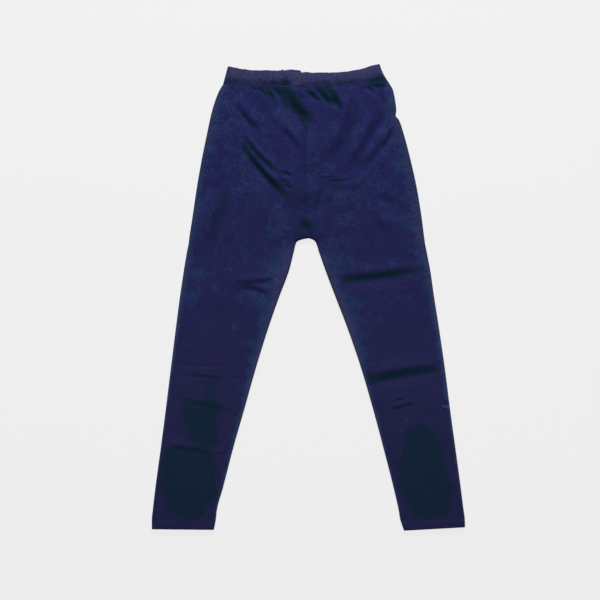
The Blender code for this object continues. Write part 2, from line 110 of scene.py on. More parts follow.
# The grid of each leg shell
FRONT_STEPS = 86
BACK_STEPS = 30
NOSE_STEPS = 6
EDGE_ROW = 0.08
HIP_ROW_STEP = 2.2
LEG_ROW_STEP = 2.75

# Sections of the legs, from the waist past the crotch to the hemline and the edge of the hem
Section = namedtuple("Section", "outer_x outer_y inner_x inner_y")
RIGHT_LEG = tuple(starmap(Section, (
    (-162.1, 404.3, -13.1, 398.8),
    (-169.9, 391.2, -12.2, 386.5),
    (-177.1, 373.2, -9.9, 369.4),
    (-185.1, 345.6, -6.5, 342.8),
    (-193.4, 306.7, -3.6, 304.8),
    (-202.7, 261.1, -2.7, 259.2),
    (-212.6, 204.1, -2.1, 204.1),
    (-220.4, 150.9, -0.9, 152.8),
    (-226.3, CROTCH_LEVEL, -0.2, 112.1),
    (-226.6, 110.4, -9.0, 110.6),
    (-227.0, 105.3, -22.4, 105.3),
    (-230.7, 86.3, -27.5, 87.2),
    (-236.4, 52.1, -36.3, 52.1),
    (-243.8, 2.7, -54.7, 2.7),
    (-251.7, -58.1, -76.0, -58.1),
    (-261.2, -134.1, -99.6, -134.1),
    (-270.6, -210.1, -121.0, -210.1),
    (-280.4, -286.1, -142.7, -286.1),
    (-290.7, -362.1, -162.3, -362.1),
    (-295.6, -403.9, -173.7, -403.9),
    (-297.3, -422.0, -175.7, -422.4),
    (-297.2, -440.0, -179.4, -441.2),
)))
LEFT_LEG = tuple(starmap(Section, (
    (152.8, 407.4, -13.1, 398.8),
    (160.0, 395.0, -12.2, 386.5),
    (164.5, 375.1, -9.9, 369.4),
    (166.8, 355.1, -7.2, 350.4),
    (165.7, 344.7, -6.1, 340.9),
    (171.8, 337.1, -5.3, 333.3),
    (180.9, 310.5, -3.6, 304.8),
    (194.0, 261.1, -2.7, 259.2),
    (206.5, 204.1, -2.1, 204.1),
    (215.1, 150.9, -0.9, 152.8),
    (220.0, CROTCH_LEVEL, -0.2, 112.1),
    (220.4, 110.4, 6.0, 110.6),
    (221.0, 105.3, 13.3, 105.3),
    (224.6, 86.3, 19.9, 86.3),
    (231.2, 52.1, 31.9, 52.1),
    (238.4, 2.7, 50.5, 2.7),
    (247.9, -58.1, 73.9, -58.1),
    (259.0, -134.1, 99.8, -134.1),
    (268.7, -210.1, 122.0, -210.1),
    (279.1, -286.1, 142.3, -286.1),
    (289.4, -362.1, 161.7, -362.1),
    (294.7, -403.9, 171.2, -403.9),
    (296.8, -419.1, 174.4, -422.9),
    (297.3, -436.2, 181.4, -442.9),
)))

# Levels up the leg, and the full height of the front layer above the floor there
HEIGHTS = (
    (-425.0, 5.2),
    (-360.0, 5.6),
    (-130.0, 6.2),
    (60.0, 6.6),
    (300.0, 6.6),
    (380.0, 6.2),
    (410.0, 5.8),
)

# Points of the casing's top edge, from the wearer's right to left
BAND_TOP = (
    (-153.1, 438.5),
    (-130.0, 434.0),
    (-101.5, 430.9),
    (-54.0, 430.2),
    (-12.2, 426.4),
    (31.5, 426.4),
    (63.8, 427.7),
    (88.5, 431.1),
    (107.5, 435.5),
    (124.6, 440.8),
    (135.3, 443.0),
)
BACK_RISE_FROM = -52.0
BACK_RISE_TO = -13.5
BACK_EDGE_Y = 431.0

# Folds of the front. A lip drops from a ridge on the waist side to a trough on the other, steepest
# on its line. A swell is a rounded ridge. A fold's shade is painted along its line, as in a crease.
Fold = namedtuple("Fold", "start middle end half_width height shade", defaults=(0.0,))
LIPS = tuple(starmap(Fold, (
    # The twin crease at the right hip, and its drag ends
    ((-35, 187), (-91, 244), (-128, 300), 6.0, 2.0, 1.5),
    ((-56, 236), (-94, 271), (-122, 310), 4.4, 1.7, 1.4),
    ((-52, 239), (-41, 236), (-29, 230), 2.8, 0.6, 1.1),
    ((-54, 224), (-43, 221), (-33, 216), 2.6, 0.6, 1.0),
    ((-48, 216), (-39, 212), (-29, 206), 3.2, 0.7, 1.2),
    ((-39, 204), (-27, 195), (-16, 179), 2.6, 0.3, 0.2),
    # The right hip, the wedge under the casing with its branches, the middle
    ((-136, 373), (-117, 341), (-92, 316), 5.5, 1.2, 0.5),
    ((-50, 424), (-29, 370), (8, 332), 10.2, 3.2, 1.9),
    ((-18, 341), (-10, 331), (-8, 320), 4.0, 0.8, 0.6),
    ((-48, 390), (-46, 373), (-41, 356), 4.5, 1.2, 1.2),
    ((-56, 329), (-33, 305), (-10, 276), 6.5, 1.1, 0.35),
    # Strokes and tucks under the casing
    ((-112, 400), (-100, 396), (-88, 395), 2.6, 0.6, 0.5),
    ((-92, 402), (-84, 391), (-76, 380), 3.0, 1.1, 1.2),
    ((-84, 410), (-74, 392), (-62, 370), 3.8, 1.6, 1.4),
    ((-72, 414), (-60, 394), (-49, 379), 4.2, 1.7, 1.6),
    ((-4, 396), (10, 383), (26, 372), 4.4, 1.5, 0.9),
    ((12, 406), (31, 383), (50, 363), 5.6, 2.3, 1.7),
    ((30, 408), (49, 381), (62, 354), 5.6, 2.5, 1.7),
    ((-18, 381), (-8, 380), (1, 377), 3.0, 0.5, 0.5),
    # The left corner and side
    ((109, 404), (127, 404), (147, 402), 5.0, 1.3, 1.2),
    ((111, 402), (117, 396), (125, 390), 3.0, 0.9, 1.2),
    ((140, 400), (141, 381), (143, 360), 3.6, 1.1, 0.6),
    # The long folds of the left hip
    ((87, 379), (68, 316), (26, 238), 13.0, 1.8, 0.25),
    ((142, 360), (109, 299), (70, 234), 10.0, 1.8, 0.3),
    ((159, 326), (130, 280), (94, 242), 7.0, 1.1, 0.2),
    ((155, 322), (151, 303), (138, 284), 4.0, 0.8, 0.5),
    # The cross crease
    ((34, 222), (58, 222), (84, 225), 2.4, 0.5, 0.7),
    ((12, 226), (38, 228), (66, 228), 2.6, 0.3, 0.3),
    ((40, 212), (72, 208), (104, 214), 8.0, 0.4, 0.25),
    # The crotch, with a star at its point and a hollow over it
    ((26, 215), (20, 193), (14, 162), 4.0, 0.9, 0.3),
    ((-20, 136), (-5, 138), (9, 137), 6.0, 0.6, 0.5),
    ((-10, 156), (-4, 139), (2, 120), 5.0, 0.8, 0.5),
    ((-56, 193), (-16, 183), (26, 196), 11.0, 0.45),
    # The thighs
    ((-153, 208), (-174, 143), (-202, 75), 12.0, 1.1, 0.2),
    ((121, 143), (144, 136), (168, 109), 10.0, 0.9, 0.15),
    ((132, 198), (147, 191), (166, 177), 9.0, 0.8, 0.2),
    ((-143, 31), (-100, 30), (-65, 37), 4.6, 0.9, 0.35),
    ((-141, 18), (-103, 18), (-71, -1), 4.8, 1.0, 0.35),
    # The right knee, calf and shin
    ((-259, -131), (-200, -134), (-150, -133), 2.2, -0.32),
    ((-236, -148), (-195, -149), (-160, -157), 3.0, 0.32, 0.6),
    ((-151, -149), (-139, -151), (-126, -155), 2.6, 0.35, 0.4),
    ((-244, -193), (-195, -203), (-143, -217), 5.0, 0.4, 0.7),
    ((-276, -280), (-225, -288), (-176, -299), 5.0, 0.5, 0.4),
    ((-179, -295), (-170, -295), (-160, -296), 2.6, 0.4, 0.8),
    # The left thigh, knee and calf
    ((58, 34), (129, 41), (200, 50), 7.8, 1.2, 1.6),
    ((148, 50), (190, 52), (232, 50), 5.0, 0.35, 0.08),
    ((108, -157), (181, -143), (251, -133), 9.4, 1.3, 1.7),
    ((151, -213), (178, -206), (206, -200), 2.6, 0.5, 0.7),
    ((163, -194), (172, -193), (184, -191), 2.4, 0.6, 0.6),
    ((252, -204), (261, -207), (269, -208), 2.4, -0.9),
)))
SWELLS = tuple(starmap(Fold, (
    # The waist and the middle
    ((-130, 385), (-107, 352), (-77, 324), 9.0, 1.1),
    ((-73, 356), (-54, 329), (-24, 284), 9.0, 0.7),
    ((69, 398), (73, 364), (52, 307), 5.0, 1.2),
    ((7, 322), (6, 303), (1, 286), 5.5, 1.1),
    ((128, 396), (129, 383), (127, 366), 3.4, 0.9),
    # The left hip, and the knot of the cross crease
    ((147, 329), (130, 305), (108, 265), 6.0, 1.1),
    ((30, 253), (37, 244), (52, 233), 7.0, 1.1),
    # The crotch, the seat, and the roll at the left side
    ((43, 212), (52, 185), (66, 151), 8.5, 1.4),
    ((32, 176), (32, 143), (26, 113), 5.0, 0.8),
    ((-88, 179), (-77, 157), (-54, 124), 10.0, 0.9),
    ((153, 402), (156, 379), (155, 350), 7.0, 1.3),
)))

# Hollows of the back: drag lines across the seat, and the packing creases
BACK_SWELLS = tuple(starmap(Fold, (
    ((-150, 330), (-112, 272), (-60, 215), 7.0, 0.8),
    ((140, 335), (104, 275), (50, 220), 6.0, 0.8),
    ((-124, 205), (-72, 178), (-20, 165), 8.0, 0.7),
    ((110, 200), (65, 176), (20, 160), 7.0, 0.6),
    ((-235, 38), (-150, 30), (-60, 28), 5.0, 0.8),
    ((230, 52), (140, 40), (55, 27), 5.0, 0.9),
    ((-260, -150), (-190, -153), (-108, -158), 5.0, 0.7),
    ((255, -135), (180, -146), (112, -157), 6.0, 1.0),
    ((-270, -205), (-210, -212), (-150, -222), 5.0, 0.6),
    ((-285, -290), (-225, -296), (-160, -305), 5.0, 0.7),
    ((280, -285), (220, -290), (155, -300), 5.0, 0.6),
)))
# The front layer keeps clear of the back one: folds deeper than this are eased off
FREE_DEPTH = 1.6
DEPTH_LEFT = 1.5
UNDER_LIMIT = 1.1

# Soft patches of painted shade and painted light, placed one by one: ovals, turned by degrees
Spot = namedtuple("Spot", "centre radii turn tone soft", defaults=(0.7,))
SPOTS = tuple(starmap(Spot, (
    # The dark pools of the right shin and calf
    ((-226, -352), (50, 70), -4, -1.4, 0.3),
    ((-227, -318), (46, 34), -12, -0.9, 0.3),
    ((-250, -312), (26, 28), -12, -1.2, 0.3),
    ((-260, -297), (15, 14), 0, -1.2, 0.3),
    ((-200, -240), (29, 48), -8, -1.3, 0.4),
    ((-205, -214), (34, 15), -10, -1.3, 0.4),
    ((-196, -271), (24, 14), -5, -1.3, 0.4),
    ((-233, -228), (15, 30), -8, -0.45, 0.9),
    # The dark pool of the left shin, and the right knee
    ((222, -346), (45, 92), 8, -1.2, 0.4),
    ((224, -300), (42, 62), 8, -0.45, 0.9),
    ((-184, -180), (13, 30), 0, -0.5, 0.9),
    # The crotch, with its star
    ((-5, 137), (13, 9), 0, -1.3, 0.3),
    ((-4, 139), (7, 15), 10, -1.0, 0.3),
    ((-15, 181), (34, 25), 0, -0.28),
    ((-5, 138), (23, 28), 0, -0.28),
    # Dark places under the casing and at the right side
    ((-48, 392), (12, 12), 0, -1.3, 0.4),
    ((36, 389), (22, 8), -18, -0.9, 0.4),
    ((-60, 396), (27, 8), -12, -0.6),
    ((10, 372), (60, 32), 0, -0.24, 0.9),
    ((134, 405), (12, 8), 0, -1.1, 0.4),
    ((-170, 157), (11, 57), -14, -0.25),
    # Paler patches of the hips
    ((-132, 388), (13, 15), 0, 0.25),
    ((-98, 339), (13, 25), 38, 0.2),
    ((-46, 336), (9, 30), 36, 0.2),
    ((-25, 299), (10, 17), 35, 0.2),
    ((26, 348), (13, 11), 0, 0.25),
    ((54, 314), (10, 13), -20, 0.25),
    ((98, 356), (15, 13), 0, 0.25),
    ((102, 322), (13, 11), 0, 0.2),
    ((142, 312), (11, 17), -30, 0.3),
    ((119, 278), (8, 23), -30, 0.2),
    # Paler patches of the right leg
    ((-206, 44), (14, 12), 0, 0.3),
    ((-179, 18), (9, 7), 0, 0.25),
    ((-221, -5), (10, 16), 0, 0.3),
    ((-138, -56), (9, 8), 0, 0.5),
    ((-108, -5), (30, 20), 0, 0.25),
    ((-122, -87), (19, 8), 0, 0.14),
    # The left hip, the seam, and the ridges of the folds
    ((60, 185), (13, 25), -15, 0.35),
    ((7, 213), (9, 13), 0, 0.2),
    ((35, 242), (10, 13), 0, 0.3),
    ((5, 303), (8, 17), 0, 0.3),
    ((70, 367), (6, 30), 0, 0.3),
    ((-62, 358), (8, 18), 30, 0.15),
    # A streak at the right shin, and paler patches of the thighs
    ((-190, -330), (8, 20), -25, 0.9, 0.4),
    ((159, 67), (11, 8), 0, 0.25),
    ((70, 10), (19, 30), 0, 0.1),
    ((66, 58), (20, 28), 0, 0.3),
    ((200, 46), (18, 13), 0, 0.22),
    ((94, -8), (18, 14), 0, 0.25),
    ((68, 150), (14, 16), 0, 0.18),
    ((-41, 112), (13, 28), 0, 0.22),
    # Faint shades at the waist, the hips and the right shin
    ((-82, 364), (24, 15), 0, -0.3, 0.9),
    ((-120, 316), (14, 16), -35, -0.2, 0.9),
    ((119, 366), (17, 50), 0, -0.2, 0.9),
    ((146, 388), (14, 14), 0, -0.25, 0.9),
    ((110, 268), (13, 46), -32, -0.25, 0.9),
    ((-228, -274), (16, 12), 0, -0.4, 0.9),
    # The top of the right inner thigh, and a scratch at the left edge
    ((-58, 143), (18, 40), -20, 0.35),
    ((262, -208), (8, 1.6), -12, 1.4, 0.5),
)))
BACK_SPOT_SHARE = 0.5

# How folds run: the pieces of their line, how far they are felt in half widths, how fast they and
# their shade rise from the ends, and how the shade thins along them
FOLD_PIECES = 12
FOLD_REACH = 3.4
FOLD_RISE = 2.8
FOLD_END = 0.05
LIP_ABOVE = 1.3
SHADE_RISE = 9.0
SHADE_POWER = 6
SHADE_TAPER = 0.45

# The shade beside the centre seam on the wearer's right, and the gleam on the left
SEAM_SHADE = -0.38
SEAM_SHADE_PLACE = 4.5
SEAM_SHADE_LEAST = 0.3
SEAM_SHADE_FROM = 80.0
SEAM_SHADE_RANGE = 70.0
SEAM_GLEAM = 0.14
BACK_SEAM_GLEAM = 0.1

# The gathers under the elastic, on each half of the front and of the back
GATHERS = 12
GATHER_HEIGHT = 0.55
GATHER_BACK_HEIGHT = 0.9
GATHER_LENGTH = 44.0
GATHER_SHIFT = 0.22
GATHER_SPREAD = 0.25
GATHER_LEAN = 0.10
CASING_HOLD = 0.55
CASING_REACH = 9.0

# Levels up the legs, and how far the rims of painted light reach in there: from the right and the
# left outer fold, and from the right and the left inner edge
RIMS = (
    (-442.0, 2.5, 3.0, 4.0, 3.5),
    (-233.0, 3.0, 5.0, 9.0, 5.5),
    (-151.0, 6.5, 8.0, 15.0, 8.0),
    (-47.0, 9.0, 11.0, 26.0, 27.0),
    (62.0, 14.0, 21.0, 40.0, 25.0),
    (110.0, 13.0, 23.0, 32.0, 25.0),
    (181.0, 12.0, 25.0, 10.0, 10.0),
    (280.0, 17.0, 27.0, 10.0, 10.0),
    (410.0, 18.0, 22.0, 10.0, 10.0),
)
RIM_TONE = 0.45
RIM_EDGE_TONE = 0.65
RIM_EDGE_SHARE = 0.42
RIM_FALL = 0.7
INNER_RIM_FADE = 45.0

# The casing
BAND_FRONT_STEPS = 220
BAND_BACK_STEPS = 150
BAND_ROWS = 18
BAND_EDGE_ROW = 0.003
BAND_HEIGHT = 34.0
BAND_DOME = 1.1
BAND_PUCKERS = 30
BAND_PUCKER_HEIGHT = 0.2
BAND_SEAM_DEPTH = 0.5
BAND_SEAM_WIDTH = 1.3
BAND_PARTED = 0.5
SIDE_CURVE = 2.0
TONGUE_X = -21.0
DIP_X = -42.0
# Forms of its back and its top edge, and of its front, where they fade up its height by a power
Form = namedtuple("Form", "name x half_width height fade", defaults=(0.0,))
BACK_FORMS = (Form("nub", -50.0, 2.2, 2.0), Form("hump", -31.0, 10.0, 2.0))
EDGE_FORMS = (Form("lift", -4.0, 4.5, 1.2),)
FRONT_FORMS = (
    Form("tongue", TONGUE_X, 6.5, 0.7),
    Form("dip", DIP_X, 9.0, -1.5, 1.2),
    Form("left corner", 127.0, 12.0, -1.0, 1.5),
)
# Its painted shades, and the light painted on the tongue, which end softly at a share of its height
Shade = namedtuple("Shade", "name x half_width tone top soft")
BAND_SHADES = (
    Shade("dip", DIP_X, 8.5, -0.85, 0.75, 0.35),
    Shade("tongue", TONGUE_X, 10.0, 0.6, 0.9, 0.4),
    Shade("left corner", 129.0, 9.5, -1.2, 0.42, 0.2),
)
TURN_STEPS = 5
SIDE_FADE = 6.0

# The hems and their stitches
HEM_FRONT_STEPS = 90
HEM_BACK_STEPS = 40
HEM_ROWS = 9
HEM_EDGE_ROW = 0.005
HEM_PARTED = 6.0
HEM_TONE = 0.35
HEM_TONE_REACH = 5.0
HEM_DROP = 830.0
STITCH_LENGTH = 2.4
STITCH_PITCH = 3.1
STITCH_AHEAD = 0.4
STITCH_RADIUS = 0.24
STITCH_SINK = 1.1 * STITCH_RADIUS
STITCH_SIDES = 6
STITCH_ROWS = (2, 4)
# Places along a stitch, and its thickness there
STITCH_PROFILE = ((-0.5, 0.35), (-0.36, 0.85), (-0.12, 1.0), (0.12, 1.0), (0.36, 0.85), (0.5, 0.35))

# Colours of the yarn, linear: plain at the hips and low on the legs, then by tone, from painted
# shade to painted light with the heather's mottle, and its flecks
Yarn = namedtuple("Yarn", "base low mid faded deep deep_low fleck_light fleck_dark")
KNIT = Yarn(
    base=(0.0108, 0.0078, 0.0675),
    low=(0.0145, 0.0138, 0.0555),
    mid=(0.0102, 0.0212, 0.0690),
    faded=(0.0290, 0.0295, 0.0780),
    deep=(0.0036, 0.0128, 0.0262),
    deep_low=(0.0058, 0.0152, 0.0350),
    fleck_light=(0.0105, 0.0270, 0.0740),
    fleck_dark=(0.0102, 0.0100, 0.0370),
)
CASING = Yarn(
    base=(0.0130, 0.0150, 0.0630),
    low=(0.0130, 0.0150, 0.0630),
    mid=(0.0185, 0.0212, 0.0640),
    faded=(0.0225, 0.0235, 0.0615),
    deep=(0.0052, 0.0130, 0.0320),
    deep_low=(0.0052, 0.0130, 0.0320),
    fleck_light=(0.0345, 0.0315, 0.0700),
    fleck_dark=(0.0125, 0.0200, 0.0580),
)
THREAD = (0.0125, 0.0130, 0.0580)
# How much lighter the mid and pale colours are painted down the legs, against the key light's
# falloff
FAR_GAIN = 1.3
WALE_WIDTH = 0.95
COURSE_HEIGHT = 0.70

# Floor, light and camera, in metres
FLOOR_GLOW = 0.802
FLOOR_SIZE = 6.0
FLOOR_DROP = 0.0004
WORLD_STRENGTH = 0.22
KEY_PLACE = (0.0, 3.3, 1.6)
KEY_SIZE = (1.8, 0.6)
KEY_WATTS = 300.0
PHOTO_WIDTH = 1.14
PHOTO_CENTRE = (-0.016, -0.005)
CAMERA_HEIGHT = 2.6
SENSOR = 36.0
CLIP_END = 20.0

Leg = namedtuple("Leg", "name side sections")
LegCloth = namedtuple("LegCloth", "leg points cloth is_front")


def ease(value):
    t = np.clip(value, 0.0, 1.0)
    return t * t * (3.0 - 2.0 * t)


def ease_from(share, value):
    """A share that eases up to the whole."""
    return share + (1.0 - share) * ease(value)


def bell(x, centre, half_width, power=2):
    """One at the centre and falling off to both sides. A higher power gives it a flatter top."""
    return np.exp(-(((x - centre) / half_width) ** power))


def grid_of(shape, *values):
    """The values at each point of a grid, side by side along a last axis."""
    return np.stack([np.broadcast_to(value, shape) for value in values], axis=-1)


def smooth_table(keys, values):
    """A curve through a table that never overshoots it (monotone cubic), for rising keys."""
    x, y = np.array(keys, float), np.array(values, float)
    h, d = np.diff(x), np.diff(y) / np.diff(x)
    before, after = d[:-1], d[1:]
    total = np.where(before + after == 0, 1, before + after)
    inner = np.where(before * after > 0, 2 * before * after / total, 0)
    m = np.concatenate([[d[0]], inner, [d[-1]]])

    def at(key):
        k = np.asarray(key, float)
        i = np.clip(np.searchsorted(x, k, side="right") - 1, 0, len(h) - 1)
        t = np.clip((k - x[i]) / h[i], 0.0, 1.0)
        t2, t3 = t * t, t * t * t
        rise = (t3 - 2 * t2 + t) * m[i] + (t3 - t2) * m[i + 1]
        return (2 * t3 - 3 * t2 + 1) * y[i] + h[i] * rise + (3 * t2 - 2 * t3) * y[i + 1]

    return at


def leg_edges(leg):
    """The outer fold's x, and the inner edge's x and y, for a level down the outer fold."""
    outer_x, levels, inner_x, inner_y = zip(*leg.sections[::-1])
    plain_x = smooth_table(levels, inner_x)

    def seam_x(level):
        in_seam = ease((level - CROTCH_LEVEL + SEAM_GAP_FADE) / SEAM_GAP_FADE)
        return plain_x(level) + leg.side * in_seam * SEAM_GAP / 2

    return smooth_table(levels, outer_x), seam_x, smooth_table(levels, inner_y)


full_height = smooth_table(*zip(*HEIGHTS))
band_top_y = smooth_table(*zip(*BAND_TOP))
crotch_fold_length = smooth_table(*zip(*CROTCH_FOLDS))


def along_fold(x, y, fold):
    """Which points are near a fold, how far from its line, the share along it, and the side."""
    start, middle, end = (np.array(p, float) for p in (fold.start, fold.middle, fold.end))
    control = 2.0 * middle - (start + end) / 2.0
    t = np.linspace(0.0, 1.0, FOLD_PIECES + 1)[:, None]
    line = (1 - t) ** 2 * start + 2 * t * (1 - t) * control + t * t * end
    reach = FOLD_REACH * fold.half_width
    low, high = line.min(axis=0) - reach, line.max(axis=0) + reach
    near = (x > low[0]) & (x < high[0]) & (y > low[1]) & (y < high[1])
    px, py = x[near], y[near]
    best, along, side = np.full(px.shape, np.inf), np.zeros(px.shape), np.zeros(px.shape)
    for n, (a, b) in enumerate(zip(line, line[1:])):
        run = b - a
        s = np.clip(((px - a[0]) * run[0] + (py - a[1]) * run[1]) / (run @ run), 0.0, 1.0)
        dx, dy = px - a[0] - s * run[0], py - a[1] - s * run[1]
        d = np.hypot(dx, dy)
        closer = d < best
        best = np.where(closer, d, best)
        along = np.where(closer, (n + s) / FOLD_PIECES, along)
        above = math.copysign(1.0, run[0]) * (dy * run[0] - dx * run[1])
        side = np.where(closer, np.sign(above), side)
    return near, best, along, side


def lip_shape(d, side):
    stretch = np.where(side > 0, LIP_ABOVE, 1.0)
    d = side * d / stretch
    return d * np.exp(0.5 - 0.5 * d * d) * stretch


def swell_shape(d, _):
    return np.exp(-(d ** 2))


def fold_relief(x, y, lips, swells):
    """How far the folds lift the cloth at points of the plan, or let it down, and the shade painted
    along them.
    """
    total, dark = np.zeros_like(x), np.zeros_like(x)
    for folds, shape in ((lips, lip_shape), (swells, swell_shape)):
        for fold in folds:
            near, d, along, side = along_fold(x, y, fold)
            ends = ease(FOLD_RISE * along + FOLD_END) * ease(FOLD_RISE * (1.0 - along) + FOLD_END)
            total[near] += fold.height * ends * shape(d / fold.half_width, side)
            blunt = ease(SHADE_RISE * along) * ease(SHADE_RISE * (1.0 - along))
            reach = fold.half_width * (1.0 - SHADE_TAPER * along ** 2)
            dark[near] += fold.shade * blunt * bell(d, 0.0, reach, SHADE_POWER)
    return total, dark


def value_noise(x, y, size, seed):
    """Smooth unevenness between -1 and 1 that changes over about the given size."""
    cells = np.random.default_rng(seed).uniform(-1.0, 1.0, (NOISE_CELLS, NOISE_CELLS))
    u, v = x / size + NOISE_START, y / size + NOISE_START
    i, j = np.floor(u).astype(int), np.floor(v).astype(int)
    s, t = ease(u - i), ease(v - j)
    i, j, i_next, j_next = (k % NOISE_CELLS for k in (i, j, i + 1, j + 1))
    low = cells[i, j] * (1 - s) + cells[i_next, j] * s
    return low * (1 - t) + (cells[i, j_next] * (1 - s) + cells[i_next, j_next] * s) * t


def noises(x, y, rows):
    return sum(row.height * value_noise(x, y, row.size, row.seed) for row in rows)


def painted_spot_light_and_shade(x, y):
    """The light painted by the patches at each point, above zero, and the shade, below zero."""
    total = np.zeros_like(x)
    wobble = noises(x, y, SPOT_NOISE)
    for spot in SPOTS:
        angle = math.radians(spot.turn)
        dx, dy = x - spot.centre[0], y - spot.centre[1]
        u = (dx * math.cos(angle) + dy * math.sin(angle)) / spot.radii[0]
        v = (dy * math.cos(angle) - dx * math.sin(angle)) / spot.radii[1]
        total += spot.tone * ease((1.0 + spot.soft / 2.0 - np.hypot(u, v) + wobble) / spot.soft)
    return total


def beside_casing(below):
    """How much of the relief is left close to the casing, which holds the cloth flat."""
    return ease_from(CASING_HOLD, below / CASING_REACH)


def gathers(share, below, height, phase):
    """The ridges under the elastic, at a share of the way across and a distance below it.

    The uneven steps of the sines keep the ridges from repeating.
    """
    total = np.zeros(np.broadcast(share, below).shape)
    for n in range(GATHERS):
        centre = (n + 0.5 + GATHER_SHIFT * math.sin(2.1 * n + phase)) / GATHERS
        length = GATHER_LENGTH * (1.0 - GATHER_SPREAD * (1.0 - math.sin(1.7 * n + 2.0 * phase)))
        strength = 1.0 - GATHER_SPREAD * (1.0 - math.cos(2.9 * n + phase))
        lean = GATHER_LEAN * math.sin(1.3 * n + phase) * below / length
        across_it = (share - centre - lean / GATHERS) * GATHERS
        shape = np.where(np.abs(across_it) < 0.5, np.cos(math.pi * across_it) ** 2, 0.0)
        total += height * strength * beside_casing(below) * ease(1.0 - below / length) * shape
    return total


def turn(distance, radius):
    """How far round a fold a point is: 0 at its tip, 1 where the layer has left it."""
    t = np.clip(distance / radius, 0.0, 1.0)
    return np.sqrt(1.0 - (1.0 - t) ** 2)


def roll(distance):
    return 1.0 - (1.0 - np.clip(distance / ROLL_WIDTH, 0.0, 1.0)) ** ROLL_POWER


def ring_stations(front_steps, back_steps):
    """Stations round a section, from the inner edge over the front, the outer fold and the back.

    Returns arrays: is it the front layer, is it measured from the inner fold, the middle or the
    outer fold (0, 1, 2), and the angle round the fold or the share of the middle.
    """
    angles = np.linspace(0.0, math.pi / 2, NOSE_STEPS, endpoint=False)
    front = np.linspace(0.0, 1.0, front_steps + 1)
    back = np.linspace(1.0, 0.0, back_steps + 1)
    runs = (
        (True, 0, angles),
        (True, 1, front),
        (True, 2, angles[::-1]),
        (False, 2, angles[1:]),
        (False, 1, back),
        (False, 0, angles[::-1]),
    )
    layers, ends, places = zip(*runs)
    sizes = [len(place) for place in places]
    return np.repeat(layers, sizes), np.repeat(ends, sizes), np.concatenate(places)


def across(end, at, width, inner_fold, outer_fold):
    """The distance of each station from the inner edge, along its row."""
    from_inner = inner_fold * (1.0 - np.cos(at))
    from_outer = width - outer_fold * (1.0 - np.cos(at))
    middle = inner_fold + at * (width - inner_fold - outer_fold)
    return np.where(end == 0, from_inner, np.where(end == 2, from_outer, middle))


def painted_rim_light(distance, reach):
    """The light painted near an edge where the cloth rolls over: an even band, and a paler strip at
    its outside.
    """
    band = RIM_TONE * np.exp(-RIM_FALL * (distance / reach) ** 3)
    return band + RIM_EDGE_TONE * np.exp(-RIM_FALL * (distance / (RIM_EDGE_SHARE * reach)) ** 2)


def rim_reaches(leg, level):
    """How far the rims reach in at a level, from the outer fold and from the inner edge."""
    levels, right_outer, left_outer, right_inner, left_inner = zip(*RIMS)
    reaches = (right_outer, right_inner) if leg.side < 0 else (left_outer, left_inner)
    return [smooth_table(levels, reach)(level) for reach in reaches]


def leg_levels(leg):
    """The levels of a leg's rows, with a crisp row at each end, and how many lie at the hips."""
    waist, hemline = leg.sections[0].outer_y, leg.sections[-2].outer_y
    hip_rows = int((waist - CROTCH_LEVEL) / HIP_ROW_STEP)
    leg_rows = int((CROTCH_LEVEL - hemline) / LEG_ROW_STEP)
    hips = np.linspace(waist, CROTCH_LEVEL, hip_rows, endpoint=False)
    legs = np.linspace(CROTCH_LEVEL, hemline, leg_rows + 1)
    rows = ([waist, waist - EDGE_ROW], hips[1:], legs[:-1], [hemline + EDGE_ROW, hemline])
    return np.concatenate(rows)[:, None], hip_rows + 1


